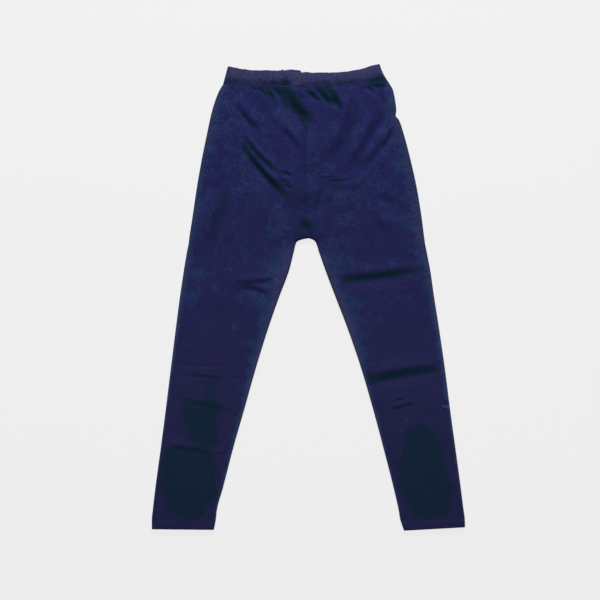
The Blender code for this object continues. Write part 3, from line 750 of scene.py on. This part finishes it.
def leg_surface(leg):
    """The outside of a leg's cloth, as a grid with its cloth coordinates and tone."""
    outer_x, inner_x, inner_y = leg_edges(leg)
    level, hip_rows = leg_levels(leg)
    is_front, end, at = ring_stations(FRONT_STEPS, BACK_STEPS)
    ix, iy, ox = inner_x(level), inner_y(level), outer_x(level)
    width = np.hypot(ox - ix, level - iy)
    above = level - CROTCH_LEVEL
    cos_slope, slant = math.cos(CROTCH_SLOPE), math.sin(CROTCH_SLOPE)
    hip_fold = np.maximum(LEG_FOLD, (LEG_FOLD - above * cos_slope) / slant)
    inner_fold = np.where(above > 0, hip_fold, crotch_fold_length(level))
    a = across(end, at, width, inner_fold, LEG_FOLD)
    share = a / width
    below = level[0] - level
    sag = WAIST_SAG * 4.0 * share * (1.0 - share) * ease(1.0 - below / WAIST_SAG_DEPTH)
    x = ix + (ox - ix) * share
    y = iy + (level - iy) * share - sag
    from_inner = np.where(above > 0, above * cos_slope + a * slant, a * LEG_FOLD / inner_fold)
    from_outer = width - a
    nearest = np.minimum(from_outer, from_inner)
    turned = np.minimum(turn(from_outer, LEG_FOLD), turn(from_inner, LEG_FOLD))

    phase = 1.0 + leg.side
    folds, fold_shade = fold_relief(x, y, LIPS, SWELLS)
    lift = folds * beside_casing(below) + gathers(share, below, GATHER_HEIGHT, phase)
    lift += ease_from(SMOOTH_SHARE, (level - SMOOTH_LEVEL) / SMOOTH_RANGE) * noises(x, y, LEG_NOISE)
    deeper = np.maximum(-lift - FREE_DEPTH, 0.0)
    lift = np.maximum(lift, -FREE_DEPTH) - DEPTH_LEFT * (1.0 - np.exp(-deeper / DEPTH_LEFT))
    ripple = np.sin(level / SEAM_PUCKER_LENGTH + noises(x, y, SEAM_NOISE))
    seam = SEAM_GROOVE * bell(a, 0.0, SEAM_GROOVE_WIDTH)
    seam -= SEAM_PUCKER_HEIGHT * ripple * bell(a, 0.0, SEAM_PUCKER_WIDTH)
    top = LEG_FOLD + LEG_FOLD * turned
    top += (full_height(level) - 2.0 * LEG_FOLD) * roll(from_outer) * roll(from_inner)
    top += lift * ease(nearest / RELIEF_FADE)
    top -= np.where(above > 0, seam * ease(above / SEAM_FADE), 0.0)
    under = fold_relief(x, y, (), BACK_SWELLS)[0]
    under += gathers(share, below, GATHER_BACK_HEIGHT, phase + 3.0)
    bottom = LEG_FOLD - LEG_FOLD * turned
    bottom += np.minimum(under, UNDER_LIMIT) * ease(nearest / UNDER_FADE)
    z = np.where(is_front, top, bottom)

    # Painted light at the rims and in paler spots, painted shade in dark spots and along the folds,
    # the spots mirrored at half strength on the back, and the seam's painted shade and gleam
    outer_reach, inner_reach = rim_reaches(leg, level)
    tone = painted_rim_light(from_outer, outer_reach)
    tone = tone + ease(-above / INNER_RIM_FADE) * painted_rim_light(from_inner, inner_reach)
    back_tone = BACK_SPOT_SHARE * painted_spot_light_and_shade(-x, y)
    tone = np.minimum(tone + np.where(is_front, painted_spot_light_and_shade(x, y) - fold_shade, back_tone), 1.0)
    seam_tone = SEAM_GLEAM
    if leg.side < 0:
        up_seam = (above - SEAM_SHADE_FROM) / SEAM_SHADE_RANGE
        seam_tone = SEAM_SHADE * ease_from(SEAM_SHADE_LEAST, up_seam)
    beside_seam = bell(a, SEAM_SHADE_PLACE, SEAM_SHADE_PLACE) * ease(above / SEAM_FADE)
    tone = tone + np.where(is_front, seam_tone, BACK_SEAM_GLEAM) * beside_seam
    cloth = grid_of(z.shape, a, below, tone)
    return LegCloth(leg, grid_of(z.shape, x, y, z), cloth, is_front), hip_rows


def place_object(name, data):
    made = bpy.data.objects.new(name, data)
    bpy.context.scene.collection.objects.link(made)
    return made


def add_mesh(name, points, faces, cloth=None):
    mesh = bpy.data.meshes.new(name)
    mesh.from_pydata((points * MM).tolist(), [], faces)
    if cloth is not None:
        attribute = mesh.attributes.new("cloth", "FLOAT_VECTOR", "POINT")
        attribute.data.foreach_set("vector", np.ascontiguousarray(cloth, np.float32).ravel())
    mesh.shade_smooth()
    return place_object(name, mesh)


def shell(name, half, open_rows):
    """A mesh through a leg's grid, whose rows close round after the open ones."""
    rows, columns = half.points.shape[:2]
    ids = np.arange(rows * columns).reshape(rows, columns)
    ids[open_rows:, -1] = ids[open_rows:, 0]
    quads = np.stack([ids[:-1, :-1], ids[:-1, 1:], ids[1:, 1:], ids[1:, :-1]], axis=-1)
    quads = quads.reshape(-1, 4)
    if half.leg.side > 0:
        quads = quads[:, ::-1]
    used, quads = np.unique(quads, return_inverse=True)
    points, cloth = (grid.reshape(-1, 3)[used] for grid in (half.points, half.cloth))
    return add_mesh(name, points, quads.reshape(-1, 4).tolist(), cloth)


def ring_quads(rows, columns):
    """Quads through a grid whose columns close round, and whose last row joins the first."""
    ids = np.arange(rows * columns).reshape(rows, columns)
    down, right = np.roll(ids, -1, axis=0), np.roll(ids, -1, axis=1)
    return np.stack([ids, right, np.roll(down, -1, axis=1), down], axis=-1).reshape(-1, 4)


def seam_tape(name, halves, hip_rows, front):
    """The seam allowance behind the centre seam, pressed flat inside the cloth."""
    loops = []
    outward = 1.0 if front else -1.0
    columns = slice(0, TAPE_FRONT_COLUMNS) if front else slice(-1, -TAPE_BACK_COLUMNS - 1, -1)
    for row in range(0, hip_rows - TAPE_END_ROWS, TAPE_ROW_STEP):
        edge = [half.points[row, 0 if front else -1] for half in halves]
        centre = (edge[0] + edge[1]) / 2.0
        top, low = [], []
        for offset in np.linspace(-TAPE_WIDTH / 2, TAPE_WIDTH / 2, TAPE_STEPS):
            half = halves[0 if offset < 0 else 1]
            z = np.interp(abs(offset), half.cloth[row, columns, 0], half.points[row, columns, 2])
            z -= outward * (LEG_CLOTH + TAPE_CLEARANCE)
            top.append((centre[0] + offset, centre[1], z))
            low.append((centre[0] + offset, centre[1], z - outward * TAPE_THICKNESS))
        loops.append(top + low[::-1])
    size = len(loops[0])
    quads = ring_quads(len(loops), size)[:-size].tolist()
    last = (len(loops) - 1) * size
    for k in range(TAPE_STEPS - 1):
        quads.append((k, size - 1 - k, size - 2 - k, k + 1))
        quads.append((last + k, last + k + 1, last + size - 2 - k, last + size - 1 - k))
    points = np.array(loops).reshape(-1, 3)
    cloth = grid_of(len(points), points[:, 0], -points[:, 1], 0.0)
    quads = np.array(quads)
    if front:
        quads = quads[:, ::-1]
    return add_mesh(name, points, quads.tolist(), cloth)


def grid_normals(grid):
    """Unit normals of a grid whose columns close round, from its neighbours."""
    round_it = np.roll(grid, -1, axis=1) - np.roll(grid, 1, axis=1)
    normal = np.cross(round_it, np.gradient(grid, axis=0))
    normal /= np.linalg.norm(normal, axis=-1, keepdims=True)
    from_middle = grid[..., 2] - grid[..., 2].mean()
    return normal if (normal[..., 2] * from_middle).sum() >= 0 else -normal


def turned_ring(name, outside, thickness, cloth):
    """A closed ring of cloth, folded over at one end, from the grid of its outside.

    Rows run from the sewn edge to the folded one, and columns close round.
    """
    normal = grid_normals(outside)
    inside = outside - thickness * normal
    onward = outside[-1] - outside[-2]
    onward /= np.linalg.norm(onward, axis=-1, keepdims=True)
    angles = math.pi * np.arange(1, TURN_STEPS + 1)[:, None, None] / (TURN_STEPS + 1)
    swing = np.cos(angles) * normal[-1] + np.sin(angles) * onward
    folded_edge = (outside[-1] + inside[-1]) / 2.0 + thickness / 2.0 * swing
    grid = np.concatenate([outside, folded_edge, inside[::-1]])
    all_cloth = np.concatenate([cloth, np.repeat(cloth[-1:], TURN_STEPS, axis=0), cloth[::-1]])
    quads = ring_quads(*grid.shape[:2])
    points = grid.reshape(-1, 3)
    first = quads[: grid.shape[1]]
    edge_a, edge_b = (points[first[:, k]] - points[first[:, 0]] for k in (1, 3))
    from_middle = points[first[:, 0], 2] - outside[..., 2].mean()
    if (np.cross(edge_a, edge_b)[:, 2] * from_middle).sum() < 0:
        quads = quads[:, ::-1]
    return add_mesh(name, points, quads.tolist(), all_cloth.reshape(-1, 3))


def waist_line(right, left):
    """The seam under the casing, as a function from a share of its length to x and y."""
    rx, ry, sx, sy = right.sections[0]
    lx, ly = left.sections[0][:2]
    middle = (sx - rx) / (lx - rx)

    def at(share):
        t = np.where(share < middle, share / middle, (share - middle) / (1.0 - middle))
        y = np.where(share < middle, ry + (sy - ry) * t, sy + (ly - sy) * t)
        return rx + share * (lx - rx), y - WAIST_SAG * 4.0 * t * (1.0 - t)

    return at, lx - rx, middle


def edge_height(x, row, row_front, is_front):
    """The height of the front and the back of a row of points, at other points' x."""
    heights = []
    for front in (True, False):
        layer = row[row_front == front]
        layer = layer[np.argsort(layer[:, 0])]
        heights.append(np.interp(x, layer[:, 0], layer[:, 2]))
    return np.where(is_front, *heights)


def forms(x, rows, left=1.0):
    """The height of forms at an x, eased off by the share that is left of the way up."""
    return sum(row.height * bell(x, row.x, row.half_width) * left ** row.fade for row in rows)


def band_plan(share, rise, is_front, line):
    """The casing's x and y, at shares of its length and of its height."""
    bottom_x, bottom_y = line(share)
    bottom_y = bottom_y + SEAM_GAP
    first_x, last_x = BAND_TOP[0][0], BAND_TOP[-1][0]
    top_x = first_x + share * (last_x - first_x)
    top_y = band_top_y(top_x) - BAND_CLOTH / 2.0
    within = ease((top_x - BACK_RISE_FROM) / 2.0 + 0.5) * ease((BACK_RISE_TO - top_x) / 4.0 + 0.5)
    risen = np.maximum(BACK_EDGE_Y - BAND_CLOTH / 2.0 - top_y, 0.0)
    top_y = top_y + np.where(is_front, 0.0, (risen + forms(top_x, BACK_FORMS)) * within)
    top_y = top_y + noises(top_x, 0.0, BAND_EDGE_NOISE) + forms(top_x, EDGE_FORMS)
    drawn_in = SIDE_CURVE * ease((share - 0.9) / 0.1) * np.sin(math.pi * rise)
    x = bottom_x + rise * (top_x - bottom_x) - drawn_in
    return bottom_x, x, bottom_y + rise * (top_y - bottom_y)


def band_lift(x, run, share, rise):
    """How far the casing's front rises over a plain flat tube, with puckers that wander."""
    beat = 2.0 * math.pi * BAND_PUCKERS * share
    wave = np.cos(beat + 5.0 * value_noise(run, 0.0, 23.0, 7))
    wave = wave * (0.6 + 0.7 * value_noise(run, 0.0, 31.0, 13))
    wave = wave + 0.6 * np.cos(1.7 * beat + 6.0 * value_noise(run, 0.0, 15.0, 8))
    wave = wave * (1.0 - 0.6 * ease((share - 0.75) / 0.15))
    lift = BAND_PUCKER_HEIGHT * wave * (0.35 + 0.65 * bell(rise, 0.25, 0.3))
    lift = lift + BAND_DOME * np.sin(math.pi * rise ** 1.1)
    return lift + forms(x, FRONT_FORMS, 1.0 - rise) + noises(run, 22.0 * rise, BAND_NOISE)


def band_tone(x, run, rise):
    """The casing's tone: painted light towards the top and painted shade low down, at its dip and
    corners.
    """
    tone = 0.6 * ease((rise - 0.2) / 0.35) - 0.12 * ease((0.4 - rise) / 0.4)
    for shade in BAND_SHADES:
        fade = ease((shade.top - rise) / shade.soft)
        tone = tone + shade.tone * bell(x, shade.x, shade.half_width, 4) * fade
    tone = tone - 0.55 * ease((x - 100.0) / 24.0) * ease((1.1 - rise) / 0.9)
    tone = tone - 0.22 * ease((-130.0 - x) / 14.0) * ease((1.0 - rise) / 0.7)
    return tone + noises(run, 20.0 * rise, BAND_TONE_NOISE)


def build_band(right, left, halves):
    """The elastic casing: a flattened ring with a folded top edge and uneven puckers."""
    line, length, seam_share = waist_line(right, left)
    inset = BAND_FOLD / length
    nose = inset * (1.0 - np.cos(np.linspace(0.0, math.pi / 2, NOSE_STEPS, endpoint=False)))
    front = inset + np.linspace(0.0, 1.0, BAND_FRONT_STEPS + 1) * (1.0 - 2.0 * inset)
    back = inset + np.linspace(1.0, 0.0, BAND_BACK_STEPS + 1) * (1.0 - 2.0 * inset)
    share = np.concatenate([nose, front, 1.0 - nose[::-1], 1.0 - nose[1:], back, nose[:0:-1]])
    is_front = np.arange(len(share)) < len(nose) * 2 + len(front)
    rise = np.insert(np.linspace(0.0, 1.0, BAND_ROWS), 1, BAND_EDGE_ROW)[:, None]
    bottom_x, x, y = band_plan(share, rise, is_front, line)
    run = share * length
    from_side = np.minimum(run, length - run)
    seam = BAND_SEAM_DEPTH * bell(run, seam_share * length, BAND_SEAM_WIDTH)
    lift = (band_lift(x, run, share, rise) - seam) * ease(from_side / SIDE_FADE)
    turned = turn(np.minimum(share, 1.0 - share) * length, BAND_FOLD)
    own = BAND_FOLD + np.where(is_front, BAND_FOLD, -BAND_FOLD) * turned
    waist_row = np.concatenate([half.points[0] for half in halves])
    sewn = edge_height(bottom_x, waist_row, np.concatenate([h.is_front for h in halves]), is_front)
    parted = ease(rise / BAND_PARTED)
    z = sewn * (1.0 - parted) + own * parted
    z = z + np.where(is_front, lift * ease(rise / 0.12 + 0.1), 0.0)
    cloth = grid_of(z.shape, run, -BAND_HEIGHT * rise, band_tone(x, run, rise))
    return turned_ring("casing", grid_of(z.shape, x, y, z), BAND_CLOTH, cloth)


def hem_surface(half):
    """The outside of a turned hem as a grid, from the hemline to the folded edge."""
    top, low = half.leg.sections[-2:]
    is_front, end, at = (values[:-1] for values in ring_stations(HEM_FRONT_STEPS, HEM_BACK_STEPS))
    t = np.insert(np.linspace(0.0, 1.0, HEM_ROWS), 1, HEM_EDGE_ROW)[:, None]
    drop = math.hypot(low.outer_x - top.outer_x, low.outer_y - top.outer_y)
    t = (SEAM_GAP / drop) + t * (1.0 - SEAM_GAP / drop - HEM_CLOTH / 2.0 / drop)
    ox, oy, ix, iy = (high + (foot - high) * t for high, foot in zip(top, low))
    width = np.hypot(ox - ix, oy - iy)
    a = across(end, at, width, HEM_FOLD, HEM_FOLD)
    share = a / width
    nearest = np.minimum(a, width - a)
    turned = np.minimum(turn(a, HEM_FOLD), turn(width - a, HEM_FOLD))
    x, y = ix + (ox - ix) * share, iy + (oy - iy) * share
    wave = noises(a, 30.0 * t, HEM_NOISE) * ease(nearest / SIDE_FADE)
    own = HEM_FOLD + np.where(is_front, HEM_FOLD, -HEM_FOLD) * turned
    parted = ease(t * drop / HEM_PARTED)
    z = edge_height(x[0], half.points[-1], half.is_front, is_front) * (1.0 - parted)
    z = z + own * parted + np.where(is_front, wave * parted, 0.0)
    # Light painted near the hem's folded sides, as on the rims of the legs
    tone = HEM_TONE * np.exp(-nearest / HEM_TONE_REACH)
    return grid_of(z.shape, x, y, z), grid_of(z.shape, a, HEM_DROP + drop * t, tone)


def ring_line(outside, row):
    """Evenly spaced points round a grid's row, with their directions and normals."""
    normal = grid_normals(outside)
    line = np.concatenate([outside[row], outside[row][:1]])
    sides = np.concatenate([normal[row], normal[row][:1]])
    run = np.concatenate([[0.0], np.cumsum(np.linalg.norm(np.diff(line, axis=0), axis=1))])
    count = int(run[-1] / STITCH_PITCH)
    at = (np.arange(count) + 0.5) * run[-1] / count

    def taken(places, values):
        return np.stack([np.interp(places, run, values[:, k]) for k in range(3)], axis=1)

    centres = taken(at, line)
    directions, ups = taken(at + STITCH_AHEAD, line) - centres, taken(at, sides)
    directions /= np.linalg.norm(directions, axis=1, keepdims=True)
    ups /= np.linalg.norm(ups, axis=1, keepdims=True)
    return centres, directions, ups


def add_stitches(name, lines):
    """Short thread capsules laid along lines, joined in one mesh."""
    size = len(STITCH_PROFILE) * STITCH_SIDES
    capsule = ring_quads(len(STITCH_PROFILE), STITCH_SIDES)[:-STITCH_SIDES].tolist()
    capsule += [range(STITCH_SIDES)[::-1], range(size - STITCH_SIDES, size)]
    points, faces = [], []
    for line in lines:
        for centre, run, up in zip(*line):
            side = np.cross(up, run)
            faces += [[len(points) + k for k in face] for face in capsule]
            for along, wide in STITCH_PROFILE:
                middle = centre + run * along * STITCH_LENGTH - up * STITCH_SINK * abs(along)
                for k in range(STITCH_SIDES):
                    angle = 2.0 * math.pi * k / STITCH_SIDES
                    swing = math.cos(angle) * side + math.sin(angle) * up
                    points.append(middle + STITCH_RADIUS * wide * swing)
    points = np.array(points)
    points[:, 2] = np.maximum(points[:, 2], 0.0)
    return add_mesh(name, points, faces)


class Nodes:
    """A new material, with short calls that add shader nodes to it and link them."""

    def __init__(self, name):
        self.material = bpy.data.materials.new(name)
        self.material.use_nodes = True
        self.tree = self.material.node_tree
        self.shader = self.tree.nodes["Principled BSDF"]

    def feed(self, socket, source):
        """Links a node's output to a socket, or sets a plain value on the socket itself."""
        if isinstance(source, bpy.types.NodeSocket):
            self.tree.links.new(source, socket)
        else:
            socket.default_value = source

    def drive(self, **sources):
        """Feeds the shader's sockets, named with underscores for spaces."""
        for name, source in sources.items():
            self.feed(self.shader.inputs[name.replace("_", " ")], source)

    def add(self, kind, links=(), **settings):
        node = self.tree.nodes.new(kind)
        for key, value in settings.items():
            setattr(node, key, value)
        for socket, source in dict(links).items():
            self.feed(node.inputs[socket], source)
        return node

    def math(self, operation, a, b=0.0, c=0.0):
        return self.add("ShaderNodeMath", {0: a, 1: b, 2: c}, operation=operation).outputs[0]

    def noise(self, vector, scale, detail=2.0, roughness=0.5):
        links = {"Vector": vector, "Scale": scale, "Detail": detail, "Roughness": roughness}
        return self.add("ShaderNodeTexNoise", links).outputs["Fac"]

    def mix(self, factor, a, b):
        a, b = ((*colour, 1.0) if isinstance(colour, tuple) else colour for colour in (a, b))
        return self.add("ShaderNodeMix", {0: factor, 6: a, 7: b}, data_type="RGBA").outputs[2]

    def ramp(self, value, low, high, to_low=0.0, to_high=1.0):
        links = {"Value": value, 1: low, 2: high, 3: to_low, 4: to_high}
        return self.add("ShaderNodeMapRange", links).outputs[0]

    def bump(self, height, strength, distance):
        links = {"Height": height, "Strength": strength, "Distance": distance}
        return self.add("ShaderNodeBump", links).outputs[0]


def knit_material(name, yarn):
    """Fine stretch jersey: wales and courses in relief, a soft heather, and painted light and
    shade.
    """
    n = Nodes(name)
    cloth = n.add("ShaderNodeAttribute", attribute_name="cloth").outputs["Vector"]
    place = n.add("ShaderNodeTexCoord").outputs["Object"]
    run, drop, tone = n.add("ShaderNodeSeparateXYZ", {0: cloth}).outputs
    broad = n.noise(place, 11.0, 3.0, 0.55)
    blotch = n.noise(place, 70.0, 4.0, 0.6)
    grain = n.noise(place, 430.0, 1.0, 0.6)
    speckle = n.noise(place, 380.0, 1.0, 0.5)

    # The tone with its edges broken up, less so in the plain lower legs
    uneven = n.ramp(blotch, 0.3, 0.7, -0.36, 0.36)
    uneven = n.math("ADD", uneven, n.ramp(broad, 0.35, 0.65, -0.20, 0.20))
    ragged = n.math("MULTIPLY_ADD", uneven, n.ramp(drop, 220.0, 440.0, 1.0, 0.6), tone)
    in_pool = n.ramp(tone, -0.3, -0.05, 1.0, 0.0)
    broken = n.math("MAXIMUM", n.ramp(drop, 220.0, 440.0, 1.0, 0.3), in_pool)
    speckled = n.ramp(speckle, 0.3, 0.7, -0.36, 0.36)
    ragged = n.math("MULTIPLY_ADD", speckled, broken, ragged)

    # From painted shade over plain and mid to painted light, broken by the heather's mottle, each
    # duller or paler down the legs; the mid and pale ones are painted lighter there against the key
    # light's falloff
    down = n.ramp(drop, 120.0, 560.0)
    colour = n.mix(down, yarn.base, yarn.low)
    mid = n.mix(down, yarn.mid, tuple(FAR_GAIN * value for value in yarn.mid))
    faded = n.mix(down, yarn.faded, tuple(FAR_GAIN * value for value in yarn.faded))
    deep = n.mix(down, yarn.deep, yarn.deep_low)
    colour = n.mix(n.ramp(ragged, -0.9, -0.05, 1.0, 0.0), colour, deep)
    colour = n.mix(n.ramp(ragged, 0.17, 0.42), colour, mid)
    colour = n.mix(n.ramp(ragged, 0.5, 1.0), colour, faded)

    # Light and dark flecks, fewer in the dark places
    amount = n.math("MULTIPLY", n.ramp(drop, 240.0, 520.0, 1.0, 0.35), n.ramp(ragged, -0.7, -0.15))
    lit = n.math("MULTIPLY", amount, n.ramp(ragged, -0.15, 0.3, 0.25, 1.0))
    light = n.math("MULTIPLY", n.ramp(grain, 0.48, 0.62, 0.0, 0.95), lit)
    dark = n.math("MULTIPLY", n.ramp(grain, 0.52, 0.38, 0.0, 0.9), amount)
    colour = n.mix(dark, n.mix(light, colour, yarn.fleck_light), yarn.fleck_dark)

    # Ribs of knit loops, and a slight unevenness
    wale = n.math("FRACT", n.math("DIVIDE", run, WALE_WIDTH))
    from_rib = n.math("MULTIPLY", n.math("ABSOLUTE", n.math("SUBTRACT", wale, 0.5)), 2.0)
    course = n.math("ADD", n.math("DIVIDE", drop, COURSE_HEIGHT), n.math("MULTIPLY", from_rib, 0.5))
    loop = n.math("SINE", n.math("MULTIPLY", course, 2.0 * math.pi))
    body = n.math("SUBTRACT", 1.0, n.math("POWER", from_rib, 2.0))
    height = n.math("MULTIPLY_ADD", loop, 0.25, n.math("MULTIPLY", body, 0.75))
    height = n.math("MULTIPLY_ADD", blotch, 1.2, height)
    n.drive(
        Base_Color=colour,
        Normal=n.bump(height, 0.25, 0.0002),
        Roughness=n.ramp(grain, 0.2, 0.8, 0.84, 0.96),
        Specular_IOR_Level=0.03,
        Sheen_Weight=0.01,
        Sheen_Roughness=0.45,
        Sheen_Tint=(0.62, 0.68, 1.0, 1.0),
    )
    return n.material


def thread_material(name):
    n = Nodes(name)
    place = n.add("ShaderNodeTexCoord").outputs["Object"]
    wave = n.add("ShaderNodeTexWave", {"Vector": place, "Scale": 900.0, "Distortion": 2.0})
    twist = wave.outputs["Fac"]
    n.drive(
        Base_Color=n.mix(twist, THREAD, KNIT.base),
        Normal=n.bump(twist, 0.4, 0.0001),
        Roughness=0.85,
        Specular_IOR_Level=0.05,
    )
    return n.material


def floor_material(name):
    n = Nodes(name)
    n.drive(
        Base_Color=(0.05, 0.05, 0.05, 1.0),
        Roughness=0.9,
        Specular_IOR_Level=0.0,
        Emission_Color=(1.0, 1.0, 1.0, 1.0),
        Emission_Strength=FLOOR_GLOW,
    )
    return n.material


right = Leg("leg_right", -1, RIGHT_LEG)
left = Leg("leg_left", 1, LEFT_LEG)
knit = knit_material("knit", KNIT)
casing_knit = knit_material("casing_knit", CASING)
hem_knit = knit_material("hem_knit", KNIT)
thread = thread_material("thread")

halves = []
for leg in (right, left):
    half, hip_rows = leg_surface(leg)
    halves.append(half)
    piece = shell(leg.name + "_cloth", half, hip_rows)
    piece.data.materials.append(knit)
    thick = piece.modifiers.new("thickness", "SOLIDIFY")
    thick.thickness = LEG_CLOTH * MM
    thick.offset = -1.0
    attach(piece, "root")
    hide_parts(leg.name)

for name, front in (("front_seam_tape", True), ("back_seam_tape", False)):
    tape = seam_tape(name, halves, hip_rows, front)
    tape.data.materials.append(knit)
    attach(tape, "root")

band = build_band(right, left, halves)
band.data.materials.append(casing_knit)
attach(band, "root")
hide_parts("waistband")

for half, side in zip(halves, ("right", "left")):
    outside, cloth = hem_surface(half)
    hem = turned_ring("hem_" + side + "_cloth", outside, HEM_CLOTH, cloth)
    hem.data.materials.append(hem_knit)
    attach(hem, "root")
    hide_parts("hem_" + side)
    lines = [ring_line(outside, row) for row in STITCH_ROWS]
    stitches = add_stitches("hem_stitches_" + side, lines)
    stitches.data.materials.append(thread)
    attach(stitches, "root")

# Floor, light and camera
reach = FLOOR_SIZE / 2
corners = [(x * reach, y * reach, -FLOOR_DROP) for x, y in ((-1, -1), (1, -1), (1, 1), (-1, 1))]
floor_mesh = bpy.data.meshes.new("floor")
floor_mesh.from_pydata(corners, [], [(0, 1, 2, 3)])
floor = place_object("floor", floor_mesh)
floor_mesh.materials.append(floor_material("floor"))

world = bpy.data.worlds.new("studio")
world.use_nodes = True
background = world.node_tree.nodes["Background"]
background.inputs["Color"].default_value = (1.0, 1.0, 1.0, 1.0)
background.inputs["Strength"].default_value = WORLD_STRENGTH
bpy.context.scene.world = world
bpy.context.scene.view_settings.view_transform = "Standard"

lamp_data = bpy.data.lights.new("key", "AREA")
lamp_data.shape = "RECTANGLE"
lamp_data.size, lamp_data.size_y = KEY_SIZE
lamp_data.energy = KEY_WATTS
lamp = place_object("key", lamp_data)
lamp.location = KEY_PLACE
lamp.rotation_euler = (-Vector(KEY_PLACE)).to_track_quat("-Z", "Y").to_euler()

camera_data = bpy.data.cameras.new("camera")
camera_data.sensor_width = SENSOR
camera_data.lens = SENSOR * CAMERA_HEIGHT / PHOTO_WIDTH
camera_data.clip_end = CLIP_END
camera = place_object("camera", camera_data)
camera.location = (*PHOTO_CENTRE, CAMERA_HEIGHT)
bpy.context.scene.camera = camera
